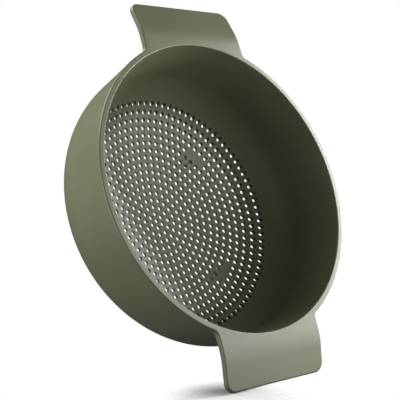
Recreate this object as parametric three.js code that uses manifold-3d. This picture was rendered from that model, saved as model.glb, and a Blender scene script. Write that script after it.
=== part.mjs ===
// A moulded plastic colander: a round bowl with a dished, perforated base, a plain rim edge, two broad
// carrying tabs and four short feet. Millimetres, +Z up, the tabs along X, the table top at z = 0.
import * as THREE from 'three';
import { mergeVertices } from 'three/addons/utils/BufferGeometryUtils.js';
import Module from 'manifold-3d';

const wasm = await Module();
wasm.setup();

// Bowl
const RIM_RADIUS = 120;
const HEIGHT = 103;
const FOOT_CLEARANCE = 3.5;
const WALL = 4.6;
const WALL_DRAFT = THREE.MathUtils.degToRad(4.6);
const CORNER_RADIUS = 50.95;
const DISH_RADIUS = 280.2;
const PLATE = 2.4;
const ROUND_STEPS = 72;
const CORNER_STEPS = 5;

// Rim band, the top edge of the wall
const RIM_BAND = 4;
const RIM_OUTER_ROUND = 1.1;
const RIM_INNER_ROUND = 0.8;
const ROUND_EDGE_STEPS = 2;

// Drain holes, six more in each ring than in the ring inside it, up to where the corner gets too steep
const HOLE_PITCH = 6.11;
const HOLE_DIAMETER = 3.6;
const HOLE_SIDES = 4;
const HOLES_PER_STEP = 6;
const HOLE_SLOPE_LIMIT = THREE.MathUtils.degToRad(48);

// Carrying tabs
const TAB_LENGTH = 31.7;
const TAB_TIP_WIDTH = 100;
const TAB_TAPER = THREE.MathUtils.degToRad(1.5);
const TAB_THICKNESS = 4.9;
const TAB_SLOPE = THREE.MathUtils.degToRad(14.5);
const TAB_BEND_RADIUS = 55;
const TAB_CORNER = 8;
const TAB_ROOT_FILLET = 5.5;
const BEND_STEPS = 5;
const ARC_STEPS = 6;

// Feet, short blocks with round ends under the outermost ring of holes in the dish
const FOOT_COUNT = 4;
const FOOT_LENGTH = 14;
const FOOT_WIDTH = 6;

// The gap that separate solids keep where one is cut to fit the other
const SEAM = 0.3;

const OLIVE = new THREE.Color(0x6c7059);

function plastic() {
  return new THREE.MeshStandardMaterial({ color: OLIVE, roughness: 0.45, metalness: 0 });
}

// One face of the bowl in section: a shallow dish, a corner arc tangent to it and a straight drafted wall.
// The three meet at joinRadius and at wallAngle, and onCorner and angleAt turn angles into points and back.
function bowlFace(topRadius, cornerRadius, dishRadius, bottom) {
  const dishCentre = bottom + dishRadius;
  const slope = Math.tan(WALL_DRAFT);
  const offset = topRadius - (cornerRadius + HEIGHT * Math.sin(WALL_DRAFT)) / Math.cos(WALL_DRAFT);
  const a = slope * slope + 1;
  const b = 2 * (offset * slope - dishCentre);
  const c = offset * offset + dishCentre * dishCentre - (dishRadius - cornerRadius) ** 2;
  const cornerZ = (-b - Math.sqrt(b * b - 4 * a * c)) / (2 * a);
  const cornerR = offset + slope * cornerZ;
  const joinAngle = Math.atan2(cornerR, dishCentre - cornerZ);
  const wallAngle = Math.PI / 2 - WALL_DRAFT;
  const joinRadius = dishRadius * Math.sin(joinAngle);
  const onCorner = (angle) => new THREE.Vector2(
    cornerR + cornerRadius * Math.sin(angle),
    cornerZ - cornerRadius * Math.cos(angle),
  );
  const angleAt = (r) => Math.asin((r - cornerR) / cornerRadius);
  const zAt = (r) => (r <= joinRadius
    ? dishCentre - Math.sqrt(dishRadius * dishRadius - r * r)
    : onCorner(angleAt(r)).y);
  const wallAt = (z) => new THREE.Vector2(topRadius - (HEIGHT - z) * slope, z);
  return { joinRadius, wallAngle, zAt, angleAt, onCorner, wallAt };
}

const OUTSIDE = bowlFace(RIM_RADIUS, CORNER_RADIUS, DISH_RADIUS, FOOT_CLEARANCE);
const INSIDE = bowlFace(
  RIM_RADIUS - WALL,
  CORNER_RADIUS - (WALL + PLATE) / 2,
  DISH_RADIUS - PLATE,
  FOOT_CLEARANCE + PLATE,
);

// The strainer base holds the rings that lie on the dish, and the corner has the rest. The base ends midway
// between two rings, and the perforated part ends half a pitch past the last one.
const BASE_RINGS = Math.floor(INSIDE.joinRadius / HOLE_PITCH);
const HOLE_RINGS = Math.floor(INSIDE.onCorner(HOLE_SLOPE_LIMIT).x / HOLE_PITCH);
const BASE_RADIUS = (BASE_RINGS + 0.5) * HOLE_PITCH;
const PERFORATED_RADIUS = (HOLE_RINGS + 0.5) * HOLE_PITCH;
const FOOT_RADIUS = BASE_RINGS * HOLE_PITCH;

function footTurns() {
  const turns = [];
  for (let i = 0; i < FOOT_COUNT; i += 1) turns.push((2 * Math.PI * (i + 0.5)) / FOOT_COUNT);
  return turns;
}

// A hole is left out where a foot stands under it.
function underFoot(radius, turn) {
  const across = (FOOT_WIDTH + HOLE_DIAMETER) / 2;
  const along = (FOOT_LENGTH + HOLE_DIAMETER) / 2;
  return footTurns().some((foot) => {
    const outward = radius * Math.cos(turn - foot) - FOOT_RADIUS;
    const sideways = radius * Math.sin(turn - foot);
    return Math.abs(outward) < across && Math.abs(sideways) < along;
  });
}

// A plain ring of points, with the section's inside and outside point at each turn.
function plainRing(inside, outside) {
  const points = [];
  for (let i = 0; i < ROUND_STEPS; i += 1) {
    points.push({ turn: (2 * Math.PI * i) / ROUND_STEPS, inside, outside });
  }
  return { lower: points, upper: points, holes: [] };
}

// A point of the perforated part, where both faces share the radius.
function platePoint(radius, turn) {
  return {
    turn,
    inside: new THREE.Vector2(radius, INSIDE.zAt(radius)),
    outside: new THREE.Vector2(radius, OUTSIDE.zAt(radius)),
  };
}

function plateRing(radius) {
  const { inside, outside } = platePoint(radius, 0);
  return plainRing(inside, outside);
}

// The corners of one upright hole, from the side that faces back along the ring, around by the far side.
function holeCorners(radius, turn) {
  const corners = [];
  for (let side = 0; side < HOLE_SIDES; side += 1) {
    const around = (2 * Math.PI * side) / HOLE_SIDES - Math.PI / 2;
    const outward = radius + (HOLE_DIAMETER / 2) * Math.cos(around);
    const sideways = (HOLE_DIAMETER / 2) * Math.sin(around);
    corners.push(platePoint(Math.hypot(outward, sideways), turn + Math.atan2(sideways, outward)));
  }
  return corners;
}

// A ring of drain holes. Its lower edge follows the near half of each hole, and its upper edge the far half.
function holeRing(step) {
  const radius = step * HOLE_PITCH;
  const count = step * HOLES_PER_STEP;
  const half = HOLE_SIDES / 2;
  const ring = { lower: [], upper: [], holes: [] };
  for (let i = 0; i < count; i += 1) {
    const turn = (2 * Math.PI * i) / count;
    if (underFoot(radius, turn)) {
      const bare = platePoint(radius, turn);
      ring.lower.push(bare);
      ring.upper.push(bare);
    } else {
      const hole = holeCorners(radius, turn);
      ring.lower.push(hole[0], ...hole.slice(half).reverse());
      ring.upper.push(...hole.slice(0, half + 1));
      ring.holes.push(hole);
    }
  }
  return ring;
}

// The hole on the axis, whose corners are the first ring of the base.
function centreHole() {
  const points = [];
  for (let side = 0; side < HOLE_SIDES; side += 1) {
    points.push(platePoint(HOLE_DIAMETER / 2, (2 * Math.PI * side) / HOLE_SIDES));
  }
  return { lower: points, upper: points, holes: [] };
}

// A closed shell of revolution with drain holes, made from rings in order from the axis outward and upward.
function shell(rings) {
  const positions = [];
  const corner = (point, face) => {
    const { x: r, y: z } = point[face];
    return [r * Math.cos(point.turn), r * Math.sin(point.turn), z];
  };
  const triangle = (a, b, c) => positions.push(...a, ...b, ...c);
  // Both faces between two rings, stepping along whichever ring has its next point first.
  const strip = (lower, upper) => {
    let i = 0;
    let j = 0;
    const turnOf = (ring, k) => ring[k % ring.length].turn + 2 * Math.PI * Math.floor(k / ring.length);
    while (i < lower.length || j < upper.length) {
      const stepLower = j >= upper.length
        || (i < lower.length && turnOf(lower, i + 1) <= turnOf(upper, j + 1));
      const a = lower[i % lower.length];
      const b = upper[j % upper.length];
      const c = stepLower ? lower[(i + 1) % lower.length] : upper[(j + 1) % upper.length];
      triangle(corner(a, 'inside'), corner(b, 'inside'), corner(c, 'inside'));
      triangle(corner(a, 'outside'), corner(c, 'outside'), corner(b, 'outside'));
      if (stepLower) i += 1;
      else j += 1;
    }
  };
  // The wall that joins both faces around a loop of points, facing away from the loop or into it.
  const edge = (points, inward) => points.forEach((point, i) => {
    const next = points[(i + 1) % points.length];
    const [a, b] = inward ? [next, point] : [point, next];
    triangle(corner(a, 'inside'), corner(a, 'outside'), corner(b, 'outside'));
    triangle(corner(a, 'inside'), corner(b, 'outside'), corner(b, 'inside'));
  });
  for (let k = 1; k < rings.length; k += 1) strip(rings[k - 1].upper, rings[k].lower);
  rings.forEach((ring) => ring.holes.forEach((hole) => edge(hole, true)));
  edge(rings[0].lower, true);
  edge(rings[rings.length - 1].upper, false);
  const geometry = new THREE.BufferGeometry();
  geometry.setAttribute('position', new THREE.Float32BufferAttribute(positions, 3));
  return geometry;
}

// The dished middle of the base, with a hole on the axis and rings of holes around it.
function strainerBase() {
  const rings = [centreHole()];
  for (let step = 1; step <= BASE_RINGS; step += 1) rings.push(holeRing(step));
  rings.push(plateRing(BASE_RADIUS));
  return shell(rings);
}

// The rounded corner between the dish and the wall, perforated in its lower part.
function bowlCorner() {
  const rings = [plateRing(BASE_RADIUS)];
  for (let step = BASE_RINGS + 1; step <= HOLE_RINGS; step += 1) rings.push(holeRing(step));
  rings.push(plateRing(PERFORATED_RADIUS));
  const startInside = INSIDE.angleAt(PERFORATED_RADIUS);
  const startOutside = OUTSIDE.angleAt(PERFORATED_RADIUS);
  for (let i = 1; i <= CORNER_STEPS; i += 1) {
    const share = i / CORNER_STEPS;
    const inside = INSIDE.onCorner(THREE.MathUtils.lerp(startInside, INSIDE.wallAngle, share));
    const outside = OUTSIDE.onCorner(THREE.MathUtils.lerp(startOutside, OUTSIDE.wallAngle, share));
    rings.push(plainRing(inside, outside));
  }
  return shell(rings);
}

// The plain drafted wall, from the corner up to the rim band.
function bowlWall() {
  const top = HEIGHT - RIM_BAND;
  return shell([
    plainRing(INSIDE.onCorner(INSIDE.wallAngle), OUTSIDE.onCorner(OUTSIDE.wallAngle)),
    plainRing(INSIDE.wallAt(top), OUTSIDE.wallAt(top)),
  ]);
}

// A quarter of a circle in section, counterclockwise from the given angle.
function roundEdge(centreR, centreZ, radius, from) {
  const points = [];
  for (let i = 0; i <= ROUND_EDGE_STEPS; i += 1) {
    const angle = from + ((Math.PI / 2) * i) / ROUND_EDGE_STEPS;
    points.push(new THREE.Vector2(centreR + radius * Math.cos(angle), centreZ + radius * Math.sin(angle)));
  }
  return points;
}

// The rim band continues the wall and ends in a flat top edge, rounded on both sides.
function rimBand() {
  const bottom = HEIGHT - RIM_BAND;
  const innerRadius = RIM_RADIUS - WALL;
  const profile = [
    INSIDE.wallAt(bottom),
    OUTSIDE.wallAt(bottom),
    ...roundEdge(RIM_RADIUS - RIM_OUTER_ROUND, HEIGHT - RIM_OUTER_ROUND, RIM_OUTER_ROUND, 0),
    ...roundEdge(innerRadius + RIM_INNER_ROUND, HEIGHT - RIM_INNER_ROUND, RIM_INNER_ROUND, Math.PI / 2),
    INSIDE.wallAt(bottom),
  ];
  // The lathe turns about Y, so its axis is stood up along Z. A quarter turn puts its first point on X,
  // where the other rings have theirs.
  return new THREE.LatheGeometry(profile, ROUND_STEPS, Math.PI / 2).rotateX(Math.PI / 2);
}

const TAB_REACH = RIM_RADIUS + TAB_LENGTH;

// The plan of a tab: an arc against the rim, root fillets, sides that taper a little and a straight,
// round-cornered tip.
function tabPlan() {
  const seat = RIM_RADIUS + SEAM;
  const slope = Math.tan(TAB_TAPER);
  const halfAt = (x) => TAB_TIP_WIDTH / 2 + (TAB_REACH - x) * slope;
  // The fillet's centre lies one fillet radius outside both the rim and the tapered side.
  const side = halfAt(0) + TAB_ROOT_FILLET / Math.cos(TAB_TAPER);
  const reach = seat + TAB_ROOT_FILLET;
  const a = 1 + slope * slope;
  const b = -2 * slope * side;
  const c = side * side - reach * reach;
  const filletX = (-b + Math.sqrt(b * b - 4 * a * c)) / (2 * a);
  const filletY = side - slope * filletX;
  const rootTurn = Math.atan2(filletY, filletX);
  const cornerX = TAB_REACH - TAB_CORNER;
  const cornerY = halfAt(cornerX) - TAB_CORNER / Math.cos(TAB_TAPER);
  const plan = new THREE.Shape();
  plan.absarc(0, 0, seat, rootTurn, -rootTurn, true);
  plan.absarc(filletX, -filletY, TAB_ROOT_FILLET, Math.PI - rootTurn, Math.PI / 2 + TAB_TAPER, true);
  plan.absarc(cornerX, -cornerY, TAB_CORNER, TAB_TAPER - Math.PI / 2, 0, false);
  plan.absarc(cornerX, cornerY, TAB_CORNER, 0, Math.PI / 2 - TAB_TAPER, false);
  plan.absarc(filletX, filletY, TAB_ROOT_FILLET, -Math.PI / 2 - TAB_TAPER, rootTurn - Math.PI, true);
  return plan;
}

// The tab in section: level from the axis to the flat of the rim, then bent into a slope that goes down past
// the tip.
function tabSection() {
  const bendX = RIM_RADIUS - RIM_OUTER_ROUND;
  const top = [new THREE.Vector2(0, HEIGHT)];
  for (let i = 0; i <= BEND_STEPS; i += 1) {
    const angle = (TAB_SLOPE * i) / BEND_STEPS;
    top.push(new THREE.Vector2(
      bendX + TAB_BEND_RADIUS * Math.sin(angle),
      HEIGHT - TAB_BEND_RADIUS * (1 - Math.cos(angle)),
    ));
  }
  const bent = top[top.length - 1];
  const pastTip = TAB_REACH + TAB_CORNER;
  top.push(new THREE.Vector2(pastTip, bent.y - (pastTip - bent.x) * Math.tan(TAB_SLOPE)));
  const underside = top.map(({ x, y }) => new THREE.Vector2(x, y - TAB_THICKNESS));
  return new THREE.Shape([...underside, ...top.reverse()]);
}

function solid(geometry) {
  const bare = new THREE.BufferGeometry();
  bare.setAttribute('position', geometry.getAttribute('position'));
  if (geometry.index) bare.setIndex(geometry.index);
  const merged = mergeVertices(bare, 1e-4);
  return new wasm.Manifold(new wasm.Mesh({
    numProp: 3,
    vertProperties: new Float32Array(merged.getAttribute('position').array),
    triVerts: new Uint32Array(merged.index.array),
  }));
}

function fromSolid(body) {
  const { vertProperties, triVerts } = body.getMesh();
  const geometry = new THREE.BufferGeometry();
  geometry.setAttribute('position', new THREE.Float32BufferAttribute(vertProperties, 3));
  geometry.setIndex(new THREE.Uint32BufferAttribute(triVerts, 1));
  return geometry;
}

// A tab is its curved section, wider than needed, trimmed to its plan.
function tab() {
  const width = 2 * TAB_TIP_WIDTH;
  const section = new THREE.ExtrudeGeometry(tabSection(), { depth: width, bevelEnabled: false });
  section.translate(0, 0, -width / 2).rotateX(Math.PI / 2);
  const plan = new THREE.ExtrudeGeometry(tabPlan(), {
    depth: HEIGHT + TAB_THICKNESS,
    bevelEnabled: false,
    curveSegments: ARC_STEPS,
  });
  return fromSolid(solid(plan).intersect(solid(section)));
}

// A foot is an upright block with round ends, cut off just under the dished base.
function foot(turn) {
  const end = (FOOT_LENGTH - FOOT_WIDTH) / 2;
  const plan = new THREE.Shape();
  plan.absarc(0, end, FOOT_WIDTH / 2, 0, Math.PI, false);
  plan.absarc(0, -end, FOOT_WIDTH / 2, Math.PI, 2 * Math.PI, false);
  const block = new THREE.ExtrudeGeometry(plan, {
    depth: OUTSIDE.zAt(FOOT_RADIUS + FOOT_WIDTH),
    bevelEnabled: false,
    curveSegments: ARC_STEPS,
  });
  block.translate(FOOT_RADIUS, 0, 0).rotateZ(turn);
  const above = [];
  for (let step = 0; step <= HOLE_RINGS; step += 1) {
    const radius = step * HOLE_PITCH;
    above.push(new THREE.Vector2(radius, OUTSIDE.zAt(radius) - SEAM));
  }
  above.push(new THREE.Vector2(HOLE_RINGS * HOLE_PITCH, HEIGHT), new THREE.Vector2(0, HEIGHT));
  const bowlSpace = new THREE.LatheGeometry(above, ROUND_STEPS).rotateX(Math.PI / 2);
  return fromSolid(solid(block).subtract(solid(bowlSpace)));
}

const colander = new THREE.Group();
colander.name = 'colander';

function addPiece(name, geometry) {
  const mesh = new THREE.Mesh(geometry, plastic());
  mesh.name = name;
  colander.add(mesh);
  return mesh;
}

addPiece('strainer_base', strainerBase());
addPiece('bowl_corner', bowlCorner());
addPiece('bowl_wall', bowlWall());
addPiece('rim_band', rimBand());
addPiece('handle_right', tab());
addPiece('handle_left', tab()).rotation.z = Math.PI;
footTurns().forEach((turn, i) => addPiece(`foot_${i + 1}`, foot(turn)));

export default colander;
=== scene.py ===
"""A moulded olive plastic colander, leaning on the tip of one tab on a pale floor, in soft studio light."""
import math

import bpy
from mathutils import Matrix, Vector


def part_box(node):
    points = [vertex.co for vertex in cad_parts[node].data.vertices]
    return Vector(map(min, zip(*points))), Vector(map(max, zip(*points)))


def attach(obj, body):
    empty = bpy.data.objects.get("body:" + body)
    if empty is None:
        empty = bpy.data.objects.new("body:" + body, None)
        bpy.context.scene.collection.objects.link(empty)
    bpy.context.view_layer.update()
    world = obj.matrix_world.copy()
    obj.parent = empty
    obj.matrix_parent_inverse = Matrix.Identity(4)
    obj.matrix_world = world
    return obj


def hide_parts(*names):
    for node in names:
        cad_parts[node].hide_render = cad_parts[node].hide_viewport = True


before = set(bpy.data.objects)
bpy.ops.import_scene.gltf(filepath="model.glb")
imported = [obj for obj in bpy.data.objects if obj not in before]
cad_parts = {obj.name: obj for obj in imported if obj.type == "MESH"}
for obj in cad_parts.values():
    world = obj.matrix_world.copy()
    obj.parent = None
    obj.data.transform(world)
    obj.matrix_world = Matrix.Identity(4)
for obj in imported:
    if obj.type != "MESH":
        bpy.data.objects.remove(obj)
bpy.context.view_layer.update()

MM = 0.001

# Sizes that the frame gives
RIM_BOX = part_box("rim_band")
TAB_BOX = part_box("handle_right")
BASE_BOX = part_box("strainer_base")
RIM_RADIUS = RIM_BOX[1].x
HEIGHT = RIM_BOX[1].z
RIM_BAND = RIM_BOX[1].z - RIM_BOX[0].z
TAB_REACH = TAB_BOX[1].x
BASE_RADIUS = BASE_BOX[1].x
FOOT_CLEARANCE = BASE_BOX[0].z

# Bowl
WALL = 4.6 * MM
WALL_DRAFT = math.radians(4.6)
CORNER_RADIUS = 50.95 * MM
DISH_RADIUS = 280.2 * MM
PLATE = 2.4 * MM
ROUND_STEPS = 288
CORNER_STEPS = 20

# Rim edge
RIM_OUTER_ROUND = 1.1 * MM
RIM_INNER_ROUND = 0.8 * MM
EDGE_STEPS = 6

# Drain holes, six more in each ring than in the ring inside it
HOLE_PITCH = 6.11 * MM
HOLE_RADIUS = 1.8 * MM
HOLE_EDGE = 0.2 * MM
HOLE_SIDES = 16
HOLES_PER_STEP = 6
BASE_RINGS = math.floor(BASE_RADIUS / HOLE_PITCH)
CORNER_RINGS = 4
HOLE_RINGS = BASE_RINGS + CORNER_RINGS
PERFORATED_RADIUS = (HOLE_RINGS + 0.5) * HOLE_PITCH

# Carrying tabs
TAB_TIP_WIDTH = 100 * MM
TAB_TAPER = math.radians(1.5)
TAB_THICKNESS = 4.9 * MM
TAB_SLOPE = math.radians(14.5)
TAB_BEND_RADIUS = 55 * MM
TAB_CORNER = 8 * MM
TAB_ROOT_FILLET = 5.5 * MM
TAB_TOP_ROUND = RIM_OUTER_ROUND
TAB_UNDER_ROUND = 0.9 * MM
TAB_SPAN_STEPS = 14
TAB_ARC_STEPS = 12
TAB_LINE_STEPS = 12
HIDDEN_OVERLAP = 0.02 * MM

# Feet
FOOT_COUNT = 4
FOOT_LENGTH = 14 * MM
FOOT_WIDTH = 6 * MM
FOOT_ROUND = 0.8 * MM
FOOT_ARC_STEPS = 12
FOOT_RADIUS = BASE_RINGS * HOLE_PITCH

# Plastic, with the size of its noises in waves to a metre
OLIVE_SHADES = (0.139, 0.153, 0.088, 1), (0.152, 0.166, 0.098, 1)
ROUGHNESS = 0.31, 0.38
CLOUD_SCALE = 28
GLOSS_SCALE = 90
GRAIN_SCALE = 2600
GRAIN_STRENGTH = 0.12
GRAIN_DEPTH = 0.05 * MM

# The stand in the photograph: the bowl's axis leans this far from upright, over the tip of the right tab
STAND_LEAN = math.radians(68.43)
PHOTO_UP = Vector((-math.sin(STAND_LEAN), 0, math.cos(STAND_LEAN)))
CAMERA_PLACE = Vector((150.8, -485.5, 585.6)) * MM
CAMERA_TARGET = Vector((-21.4, -13.5, 50.0)) * MM
CAMERA_LENS = 82.41
SENSOR_WIDTH = 36
CAMERA_SHIFT = 0.075, -0.05

# The floor in the photograph, which fades out into the white background. Its clear middle lies a little in
# front of the corner that it carries.
FLOOR_RADIUS = 600 * MM
FLOOR_CLEAR = 22 * MM
FLOOR_FADED = 54 * MM
FLOOR_FORWARD = 19 * MM
FLOOR_SIDES = 64
FLOOR_SHADE = 0.95, 0.95, 0.95, 1

# The studio: an even fill, and lamps with their place to the photograph's right, up and backward from the
# bowl's middle and their width and height, all in metres, and their power in watts
AMBIENT = 0.06
LAMPS = (
    ("right_strip", (0.84, 0.25, -0.21), (0.12, 0.7), 8.7),
    ("upper_right_strip", (0.77, 0.46, 0.04), (0.12, 0.7), 0.45),
    ("near_right_softbox", (0.46, 0.04, 0.18), (0.5, 0.42), 1.75),
    ("left_softbox", (-0.69, 0, 0.41), (0.7, 0.7), 5),
    ("upper_left_softbox", (-0.51, 0.61, -0.05), (0.5, 0.5), 6.3),
)


class BowlFace:
    """One face of the bowl in section: a shallow dish, a corner arc tangent to it and a drafted wall."""

    def __init__(self, top_radius, corner_radius, dish_radius, bottom):
        self.top_radius = top_radius
        self.corner_radius = corner_radius
        self.dish_radius = dish_radius
        self.dish_centre = bottom + dish_radius
        slope = math.tan(WALL_DRAFT)
        offset = top_radius - (corner_radius + HEIGHT * math.sin(WALL_DRAFT)) / math.cos(WALL_DRAFT)
        a = slope * slope + 1
        b = 2 * (offset * slope - self.dish_centre)
        c = offset * offset + self.dish_centre ** 2 - (dish_radius - corner_radius) ** 2
        self.corner_z = (-b - math.sqrt(b * b - 4 * a * c)) / (2 * a)
        self.corner_r = offset + slope * self.corner_z
        join_angle = math.atan2(self.corner_r, self.dish_centre - self.corner_z)
        self.join_radius = dish_radius * math.sin(join_angle)
        self.wall_angle = math.pi / 2 - WALL_DRAFT

    def angle_at(self, r):
        """How far the face has turned up from level at a radius on the dish or the corner."""
        if r <= self.join_radius:
            return math.asin(r / self.dish_radius)
        return math.asin((r - self.corner_r) / self.corner_radius)

    def z_at(self, r):
        if r <= self.join_radius:
            return self.dish_centre - math.sqrt(self.dish_radius ** 2 - r * r)
        return self.corner_z - math.sqrt(self.corner_radius ** 2 - (r - self.corner_r) ** 2)

    def on_corner(self, angle):
        r = self.corner_r + self.corner_radius * math.sin(angle)
        z = self.corner_z - self.corner_radius * math.cos(angle)
        return r, z, angle

    def on_wall(self, z):
        return self.top_radius - (HEIGHT - z) * math.tan(WALL_DRAFT), z, self.wall_angle


OUTSIDE = BowlFace(RIM_RADIUS, CORNER_RADIUS, DISH_RADIUS, FOOT_CLEARANCE)
INSIDE = BowlFace(
    RIM_RADIUS - WALL,
    CORNER_RADIUS - (WALL + PLATE) / 2,
    DISH_RADIUS - PLATE,
    FOOT_CLEARANCE + PLATE,
)


class Skin:
    """Collects faces whose corners carry their own normals, and welds corners at the same place."""

    WELD_DIGITS = 8

    def __init__(self):
        self.points = []
        self.index = {}
        self.faces = []
        self.normals = []

    def corner(self, place):
        key = tuple(round(x, self.WELD_DIGITS) for x in place)
        if key not in self.index:
            self.index[key] = len(self.points)
            self.points.append(key)
        return self.index[key]

    def face(self, *corners):
        """Adds a face of (place, normal) corners. Corners that fall together count once."""
        loop = []
        for place, normal in corners:
            i = self.corner(place)
            if all(i != j for j, _ in loop):
                loop.append((i, normal))
        if len(loop) > 2:
            self.faces.append([i for i, _ in loop])
            self.normals.extend(n for _, n in loop)

    def piece(self, name, node):
        mesh = bpy.data.meshes.new(name)
        mesh.from_pydata(self.points, [], self.faces)
        mesh.polygons.foreach_set("use_smooth", [True] * len(self.faces))
        mesh.normals_split_custom_set([tuple(n) for n in self.normals])
        mesh.materials.append(OLIVE_PLASTIC)
        obj = bpy.data.objects.new(name, mesh)
        bpy.context.scene.collection.objects.link(obj)
        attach(obj, "root")
        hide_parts(node)
        return obj


def revolved(section, turn, outward=1):
    """A (place, normal) corner for a section point (r, z, angle), on the outer face or the inner one."""
    r, z, angle = section
    across = Vector((math.cos(turn), math.sin(turn), 0))
    place = Vector((r * across.x, r * across.y, z))
    normal = outward * (across * math.sin(angle) - Vector((0, 0, math.cos(angle))))
    return place, normal


class RingPoint:
    """A point of a ring around the axis, with its corners on both faces of the bowl."""

    def __init__(self, turn, inside, outside):
        self.turn = turn
        self.inside = revolved(inside, turn, -1)
        self.outside = revolved(outside, turn)


def plate_point(radius, turn):
    """A ring point of the perforated part, where both faces share the radius."""
    inside = radius, INSIDE.z_at(radius), INSIDE.angle_at(radius)
    outside = radius, OUTSIDE.z_at(radius), OUTSIDE.angle_at(radius)
    return RingPoint(turn, inside, outside)


def turns(count):
    return [2 * math.pi * i / count for i in range(count)]


class Ring:
    """Points around the axis. The lower edge faces the ring inside it, the upper edge the ring outside it."""

    def __init__(self, points=()):
        self.lower = list(points)
        self.upper = list(self.lower)
        self.holes = []


def plain_ring(inside, outside):
    return Ring(RingPoint(turn, inside, outside) for turn in turns(ROUND_STEPS))


def plate_ring(radius):
    return Ring(plate_point(radius, turn) for turn in turns(ROUND_STEPS))


def foot_turns():
    return [turn + math.pi / FOOT_COUNT for turn in turns(FOOT_COUNT)]


def under_foot(radius, turn):
    """Whether a hole here would open onto a foot."""
    across = FOOT_WIDTH / 2 + HOLE_RADIUS
    along = FOOT_LENGTH / 2 + HOLE_RADIUS
    for foot in foot_turns():
        outward = radius * math.cos(turn - foot) - FOOT_RADIUS
        sideways = radius * math.sin(turn - foot)
        if abs(outward) < across and abs(sideways) < along:
            return True
    return False


class Hole:
    """An upright drain hole, its mouth on each face slightly wider than the hole."""

    def __init__(self, radius, turn):
        self.mouth = []
        self.walls = []
        for i in range(HOLE_SIDES):
            around = 2 * math.pi * i / HOLE_SIDES - math.pi / 2
            self.mouth.append(self.point(radius, turn, around, HOLE_RADIUS + HOLE_EDGE))
            bore = self.point(radius, turn, around, HOLE_RADIUS)
            normal = Vector((-math.cos(turn + around), -math.sin(turn + around), 0))
            top = bore.inside[0] - Vector((0, 0, HOLE_EDGE))
            bottom = bore.outside[0] + Vector((0, 0, HOLE_EDGE))
            self.walls.append(((top, normal), (bottom, normal)))

    @staticmethod
    def point(radius, turn, around, hole_radius):
        outward = radius + hole_radius * math.cos(around)
        sideways = hole_radius * math.sin(around)
        return plate_point(math.hypot(outward, sideways), turn + math.atan2(sideways, outward))

    def line(self, skin):
        for i in range(len(self.mouth)):
            j = (i + 1) % len(self.mouth)
            (top_i, bottom_i), (top_j, bottom_j) = self.walls[i], self.walls[j]
            skin.face(self.mouth[i].inside, self.mouth[j].inside, top_j, top_i)
            skin.face(top_i, top_j, bottom_j, bottom_i)
            skin.face(bottom_i, bottom_j, self.mouth[j].outside, self.mouth[i].outside)


def hole_ring(step):
    """A ring of drain holes. Its lower edge follows the near half of each hole, the upper the far half."""
    radius = step * HOLE_PITCH
    half = HOLE_SIDES // 2
    ring = Ring()
    for turn in turns(step * HOLES_PER_STEP):
        if under_foot(radius, turn):
            bare = plate_point(radius, turn)
            ring.lower.append(bare)
            ring.upper.append(bare)
            continue
        hole = Hole(radius, turn)
        ring.lower += [hole.mouth[0]] + hole.mouth[half:][::-1]
        ring.upper += hole.mouth[:half + 1]
        ring.holes.append(hole)
    return ring


def centre_hole():
    """The hole on the axis. Its corners lie half a step past zero, in order."""
    hole = Hole(0, math.pi * (1 / 2 + 1 / HOLE_SIDES))
    for point in hole.mouth:
        point.turn %= 2 * math.pi
    ring = Ring(hole.mouth)
    ring.holes.append(hole)
    return ring


def strip(skin, lower, upper):
    """Both faces between two rings, stepping along whichever ring has its next point first."""
    def turn_of(ring, k):
        return ring[k % len(ring)].turn + 2 * math.pi * (k // len(ring))

    i = j = 0
    while i < len(lower) or j < len(upper):
        step_lower = j >= len(upper)
        if not step_lower and i < len(lower):
            step_lower = turn_of(lower, i + 1) <= turn_of(upper, j + 1)
        a, b = lower[i % len(lower)], upper[j % len(upper)]
        if step_lower:
            i += 1
            c = lower[i % len(lower)]
        else:
            j += 1
            c = upper[j % len(upper)]
        skin.face(a.inside, b.inside, c.inside)
        skin.face(a.outside, c.outside, b.outside)


def end_wall(skin, points, outer):
    """The hidden wall that closes a shell where the next piece of the moulding goes on."""
    for point, following in zip(points, points[1:] + points[:1]):
        a, b = (point, following) if outer else (following, point)
        normal = (a.outside[0] - a.inside[0]).cross(b.outside[0] - a.outside[0]).normalized()
        places = a.inside[0], a.outside[0], b.outside[0], b.inside[0]
        skin.face(*[(place, normal) for place in places])


def shell(rings):
    """A closed shell from rings in order from the axis outward and upward."""
    skin = Skin()
    for lower, upper in zip(rings, rings[1:]):
        strip(skin, lower.upper, upper.lower)
    for ring in rings:
        for hole in ring.holes:
            hole.line(skin)
    if not rings[0].holes:
        end_wall(skin, rings[0].lower, False)
    end_wall(skin, rings[-1].upper, True)
    return skin


def strainer_base():
    rings = [centre_hole()]
    rings += [hole_ring(step) for step in range(1, BASE_RINGS + 1)]
    rings.append(plate_ring(BASE_RADIUS))
    return shell(rings)


def bowl_corner():
    rings = [plate_ring(BASE_RADIUS)]
    rings += [hole_ring(step) for step in range(BASE_RINGS + 1, HOLE_RINGS + 1)]
    starts = [face.angle_at(PERFORATED_RADIUS) for face in (INSIDE, OUTSIDE)]
    for i in range(CORNER_STEPS + 1):
        share = i / CORNER_STEPS
        angles = [start + (INSIDE.wall_angle - start) * share for start in starts]
        rings.append(plain_ring(INSIDE.on_corner(angles[0]), OUTSIDE.on_corner(angles[1])))
    return shell(rings)


def bowl_wall():
    top = HEIGHT - RIM_BAND
    return shell([
        plain_ring(INSIDE.on_corner(INSIDE.wall_angle), OUTSIDE.on_corner(OUTSIDE.wall_angle)),
        plain_ring(INSIDE.on_wall(top), OUTSIDE.on_wall(top)),
    ])


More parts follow.
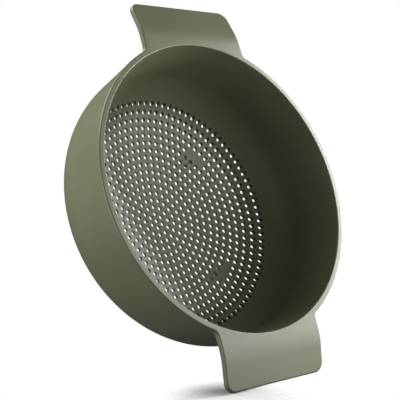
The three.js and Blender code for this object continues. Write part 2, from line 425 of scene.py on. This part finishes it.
def round_edge(centre_r, centre_z, radius, start, end):
    """Section points along an arc. Their angle is that of the face, a right angle more than the normal's."""
    points = []
    for i in range(EDGE_STEPS + 1):
        angle = start + (end - start) * i / EDGE_STEPS
        r = centre_r + radius * math.cos(angle)
        z = centre_z + radius * math.sin(angle)
        points.append((r, z, angle + math.pi / 2))
    return points


def rim_band():
    """The top edge of the wall, flat on top and rounded on both sides."""
    skin = Skin()
    bottom = HEIGHT - RIM_BAND
    inner = RIM_RADIUS - WALL
    in_r, in_z, _ = INSIDE.on_wall(bottom)
    out_r, out_z, _ = OUTSIDE.on_wall(bottom)
    inner_angle = math.pi + INSIDE.wall_angle
    outer_round = round_edge(RIM_RADIUS - RIM_OUTER_ROUND, HEIGHT - RIM_OUTER_ROUND,
                             RIM_OUTER_ROUND, -WALL_DRAFT, math.pi / 2)
    inner_round = round_edge(inner + RIM_INNER_ROUND, HEIGHT - RIM_INNER_ROUND,
                             RIM_INNER_ROUND, math.pi / 2, math.pi - WALL_DRAFT)
    section = [(in_r, in_z, 0), (out_r, out_z, 0)]
    section += [(out_r, out_z, OUTSIDE.wall_angle)] + outer_round + inner_round
    section += [(in_r, in_z, inner_angle)]
    around = turns(ROUND_STEPS)
    for a, b in zip(around, around[1:] + around[:1]):
        for p, q in zip(section, section[1:]):
            skin.face(revolved(p, a), revolved(p, b), revolved(q, b), revolved(q, a))
    return skin


def arc(centre, radius, start, end, concave=False):
    """Outline points with their outward normals along an arc in plan."""
    points = []
    for i in range(TAB_ARC_STEPS + 1):
        angle = start + (end - start) * i / TAB_ARC_STEPS
        direction = Vector((math.cos(angle), math.sin(angle)))
        points.append((centre + radius * direction, -direction if concave else direction))
    return points


def line(start, end, normal):
    """Outline points between two ends, without the ends themselves."""
    return [(start.lerp(end, i / TAB_LINE_STEPS), normal) for i in range(1, TAB_LINE_STEPS)]


def tab_outline():
    """The free edge of the right tab in plan, from the rim around the tip and back to the rim."""
    slope = math.tan(TAB_TAPER)

    def half_at(x):
        return TAB_TIP_WIDTH / 2 + (TAB_REACH - x) * slope

    side = half_at(0) + TAB_ROOT_FILLET / math.cos(TAB_TAPER)
    reach = RIM_RADIUS - HIDDEN_OVERLAP + TAB_ROOT_FILLET
    a = 1 + slope * slope
    b = -2 * slope * side
    c = side * side - reach * reach
    fillet_x = (-b + math.sqrt(b * b - 4 * a * c)) / (2 * a)
    fillet = Vector((fillet_x, side - slope * fillet_x))
    root_turn = math.atan2(fillet.y, fillet.x)
    corner_x = TAB_REACH - TAB_CORNER
    corner = Vector((corner_x, half_at(corner_x) - TAB_CORNER / math.cos(TAB_TAPER)))
    side_normal = Vector((math.sin(TAB_TAPER), math.cos(TAB_TAPER)))
    root = arc(fillet, TAB_ROOT_FILLET, root_turn - math.pi, -math.pi / 2 - TAB_TAPER, concave=True)
    tip = arc(corner, TAB_CORNER, math.pi / 2 - TAB_TAPER, 0)
    half = root + line(root[-1][0], tip[0][0], side_normal) + tip
    other = [(Vector((p.x, -p.y)), Vector((n.x, -n.y))) for p, n in reversed(half)]
    return half + line(tip[-1][0], other[0][0], Vector((1, 0))) + other


TAB_ROOT = RIM_RADIUS - TAB_TOP_ROUND


def tab_top(x):
    """Height of the tab's top face, and its normal: level at the rim, then bent into a straight slope."""
    past_root = max(0, x - TAB_ROOT)
    bend = TAB_BEND_RADIUS * math.sin(TAB_SLOPE)
    angle = math.asin(min(past_root, bend) / TAB_BEND_RADIUS)
    fall = TAB_BEND_RADIUS * (1 - math.cos(angle)) + max(0, past_root - bend) * math.tan(TAB_SLOPE)
    return HEIGHT - fall, Vector((math.sin(angle), 0, math.cos(angle)))


def tab_section(point, normal):
    """Corners around the tab where it ends at an outline point, from the rim over the top and back below."""
    root = TAB_ROOT * point.normalized()
    side = normal.to_3d()
    corners = []

    def add(plan, depth, lean):
        z, up = tab_top(plan.x)
        turned = math.cos(lean) * up + math.sin(lean) * side
        corners.append((Vector((plan.x, plan.y, z - depth)), turned.normalized()))

    top_edge = point - TAB_TOP_ROUND * normal
    for i in range(TAB_SPAN_STEPS):
        add(root.lerp(top_edge, i / TAB_SPAN_STEPS), 0, 0)
    for i in range(EDGE_STEPS + 1):
        lean = math.pi / 2 * i / EDGE_STEPS
        inset = TAB_TOP_ROUND * (1 - math.sin(lean))
        add(point - inset * normal, TAB_TOP_ROUND * (1 - math.cos(lean)), lean)
    under_inset = (TAB_THICKNESS - TAB_UNDER_ROUND) * math.tan(WALL_DRAFT)
    for i in range(EDGE_STEPS + 1):
        lean = math.pi / 2 * (1 + i / EDGE_STEPS)
        inset = under_inset + TAB_UNDER_ROUND * (1 - math.sin(lean))
        add(point - inset * normal, TAB_THICKNESS - TAB_UNDER_ROUND * (1 + math.cos(lean)), lean)
    under_edge = point - (under_inset + TAB_UNDER_ROUND) * normal
    for i in range(1, TAB_SPAN_STEPS + 1):
        add(under_edge.lerp(root, i / TAB_SPAN_STEPS), TAB_THICKNESS, math.pi)
    return corners


def tab(turn):
    skin = Skin()
    spin = Matrix.Rotation(turn, 3, "Z")
    sections = []
    for point, normal in tab_outline():
        sections.append([(spin @ place, spin @ n) for place, n in tab_section(point, normal)])
    for here, there in zip(sections, sections[1:]):
        for k in range(len(here)):
            m = (k + 1) % len(here)
            skin.face(here[k], there[k], there[m], here[m])
    skin.face(*sections[0])
    skin.face(*reversed(sections[-1]))
    return skin


def foot_outline():
    """A long round-ended outline in plan, lying along the ring of holes, with its outward normals."""
    end = (FOOT_LENGTH - FOOT_WIDTH) / 2
    points = []
    for start in (0, math.pi):
        centre = Vector((FOOT_RADIUS, end if start == 0 else -end))
        for i in range(FOOT_ARC_STEPS + 1):
            angle = start + math.pi * i / FOOT_ARC_STEPS
            normal = Vector((math.cos(angle), math.sin(angle)))
            points.append((centre + FOOT_WIDTH / 2 * normal, normal))
    return points


def foot(turn):
    """A foot with a rounded lower edge, its top inside the plate that carries it."""
    skin = Skin()
    spin = Matrix.Rotation(turn, 3, "Z")
    rings = []
    for i in range(EDGE_STEPS + 1):
        lean = math.pi / 2 * i / EDGE_STEPS
        inset = FOOT_ROUND * (1 - math.sin(lean))
        ring = []
        for point, normal in foot_outline():
            plan = point - inset * normal
            place = Vector((plan.x, plan.y, FOOT_ROUND * (1 - math.cos(lean))))
            turned = math.sin(lean) * normal.to_3d() - Vector((0, 0, math.cos(lean)))
            ring.append((spin @ place, spin @ turned))
        rings.append(ring)
    top = []
    for place, normal in rings[-1]:
        z = OUTSIDE.z_at(place.xy.length) + PLATE / 2
        top.append((Vector((place.x, place.y, z)), normal))
    rings.append(top)
    for lower, upper in zip(rings, rings[1:]):
        for i in range(len(lower)):
            j = (i + 1) % len(lower)
            skin.face(lower[i], lower[j], upper[j], upper[i])
    skin.face(*reversed(rings[0]))
    skin.face(*[(place, Vector((0, 0, 1))) for place, _ in top])
    return skin


def olive_plastic():
    """Satin moulded plastic: a fine spark-eroded grain, with faint clouds in its colour and gloss."""
    material = bpy.data.materials.new("olive_plastic")
    material.use_nodes = True
    nodes = material.node_tree.nodes
    links = material.node_tree.links
    shader = nodes["Principled BSDF"]
    shader.inputs["Specular IOR Level"].default_value = 0.5
    place = nodes.new("ShaderNodeTexCoord")

    def noise(scale, detail):
        node = nodes.new("ShaderNodeTexNoise")
        node.inputs["Scale"].default_value = scale
        node.inputs["Detail"].default_value = detail
        links.new(place.outputs["Object"], node.inputs["Vector"])
        return node.outputs["Fac"]

    tint = nodes.new("ShaderNodeValToRGB")
    tint.color_ramp.elements[0].position = 0.3
    tint.color_ramp.elements[0].color = OLIVE_SHADES[0]
    tint.color_ramp.elements[1].position = 0.7
    tint.color_ramp.elements[1].color = OLIVE_SHADES[1]
    links.new(noise(CLOUD_SCALE, 3), tint.inputs["Fac"])
    links.new(tint.outputs["Color"], shader.inputs["Base Color"])
    gloss = nodes.new("ShaderNodeMapRange")
    gloss.inputs["To Min"].default_value, gloss.inputs["To Max"].default_value = ROUGHNESS
    links.new(noise(GLOSS_SCALE, 2), gloss.inputs["Value"])
    links.new(gloss.outputs["Result"], shader.inputs["Roughness"])
    grain = nodes.new("ShaderNodeBump")
    grain.inputs["Strength"].default_value = GRAIN_STRENGTH
    grain.inputs["Distance"].default_value = GRAIN_DEPTH
    links.new(noise(GRAIN_SCALE, 2), grain.inputs["Height"])
    links.new(grain.outputs["Normal"], shader.inputs["Normal"])
    return material


OLIVE_PLASTIC = olive_plastic()

strainer_base().piece("strainer_base_moulding", "strainer_base")
bowl_corner().piece("bowl_corner_moulding", "bowl_corner")
bowl_wall().piece("bowl_wall_moulding", "bowl_wall")
rim_band().piece("rim_band_moulding", "rim_band")
right_tab = tab(0).piece("tab_right_moulding", "handle_right")
tab(math.pi).piece("tab_left_moulding", "handle_left")
for number, foot_turn in enumerate(foot_turns(), 1):
    foot(foot_turn).piece(f"foot_{number}_moulding", f"foot_{number}")


def photo_axes():
    """The camera's right, up and backward directions, level with the photograph's floor."""
    back = (CAMERA_PLACE - CAMERA_TARGET).normalized()
    right = PHOTO_UP.cross(back).normalized()
    return right, back.cross(right), back


RIGHT, UP, BACK = photo_axes()


def camera():
    data = bpy.data.cameras.new("camera")
    data.lens = CAMERA_LENS
    data.sensor_width = SENSOR_WIDTH
    data.shift_x, data.shift_y = CAMERA_SHIFT
    obj = bpy.data.objects.new("camera", data)
    obj.matrix_world = Matrix.Translation(CAMERA_PLACE) @ Matrix((RIGHT, UP, BACK)).transposed().to_4x4()
    bpy.context.scene.collection.objects.link(obj)
    bpy.context.scene.camera = obj


def softbox(name, place, size, power):
    """A rectangular area lamp facing the bowl, upright, placed by the photograph's right, up and backward."""
    data = bpy.data.lights.new(name, "AREA")
    data.shape = "RECTANGLE"
    data.size, data.size_y = size
    data.energy = power
    obj = bpy.data.objects.new(name, data)
    away = place[0] * RIGHT + place[1] * UP + place[2] * BACK
    back = away.normalized()
    right = UP.cross(back).normalized()
    turned = Matrix((right, back.cross(right), back)).transposed().to_4x4()
    obj.matrix_world = Matrix.Translation(away + Vector((0, 0, HEIGHT / 2))) @ turned
    bpy.context.scene.collection.objects.link(obj)


def white_world():
    """White to the camera, and a dim even fill for everything else."""
    world = bpy.data.worlds.new("studio")
    world.use_nodes = True
    nodes = world.node_tree.nodes
    links = world.node_tree.links
    background = nodes["Background"]
    background.inputs["Color"].default_value = (1, 1, 1, 1)
    path = nodes.new("ShaderNodeLightPath")
    strength = nodes.new("ShaderNodeMapRange")
    strength.inputs["To Min"].default_value = AMBIENT
    strength.inputs["To Max"].default_value = 1
    links.new(path.outputs["Is Camera Ray"], strength.inputs["Value"])
    links.new(strength.outputs["Result"], background.inputs["Strength"])
    bpy.context.scene.world = world


def floor_white():
    """Matt white, for the camera alone. Fades out all round and is unseen from below."""
    material = bpy.data.materials.new("floor_white")
    material.use_nodes = True
    nodes = material.node_tree.nodes
    links = material.node_tree.links
    nodes.remove(nodes["Principled BSDF"])
    matt = nodes.new("ShaderNodeBsdfDiffuse")
    matt.inputs["Color"].default_value = FLOOR_SHADE
    place = nodes.new("ShaderNodeTexCoord")
    distance = nodes.new("ShaderNodeVectorMath")
    distance.operation = "LENGTH"
    links.new(place.outputs["Object"], distance.inputs[0])
    fade = nodes.new("ShaderNodeMapRange")
    fade.interpolation_type = "SMOOTHSTEP"
    fade.inputs["From Min"].default_value = FLOOR_CLEAR
    fade.inputs["From Max"].default_value = FLOOR_FADED
    links.new(distance.outputs["Value"], fade.inputs["Value"])
    side = nodes.new("ShaderNodeNewGeometry")
    below = nodes.new("ShaderNodeMath")
    below.operation = "MAXIMUM"
    links.new(fade.outputs["Result"], below.inputs[0])
    links.new(side.outputs["Backfacing"], below.inputs[1])
    path = nodes.new("ShaderNodeLightPath")
    shown = nodes.new("ShaderNodeMath")
    shown.operation = "SUBTRACT"
    shown.use_clamp = True
    links.new(path.outputs["Is Camera Ray"], shown.inputs[0])
    links.new(below.outputs["Value"], shown.inputs[1])
    clear = nodes.new("ShaderNodeBsdfTransparent")
    mix = nodes.new("ShaderNodeMixShader")
    links.new(shown.outputs["Value"], mix.inputs["Fac"])
    links.new(clear.outputs["BSDF"], mix.inputs[1])
    links.new(matt.outputs["BSDF"], mix.inputs[2])
    links.new(mix.outputs["Shader"], nodes["Material Output"].inputs["Surface"])
    return material


def floor():
    """A round floor, level in the photograph, under the tip that the colander stands on."""
    stand = min((vertex.co for vertex in right_tab.data.vertices), key=lambda place: place.dot(PHOTO_UP))
    corner = Vector((stand.x, TAB_CORNER - TAB_TIP_WIDTH / 2, stand.z))
    forward = (BACK - BACK.dot(PHOTO_UP) * PHOTO_UP).normalized()
    across = Vector((0, 1, 0))
    along = PHOTO_UP.cross(across)
    edge = [FLOOR_RADIUS * (math.cos(turn) * across + math.sin(turn) * along) for turn in turns(FLOOR_SIDES)]
    mesh = bpy.data.meshes.new("floor")
    mesh.from_pydata(edge, [], [list(range(FLOOR_SIDES))])
    mesh.materials.append(floor_white())
    obj = bpy.data.objects.new("floor", mesh)
    obj.location = corner + FLOOR_FORWARD * forward
    bpy.context.scene.collection.objects.link(obj)


camera()
floor()
white_world()
for lamp in LAMPS:
    softbox(*lamp)
bpy.context.scene.view_settings.view_transform = "Standard"
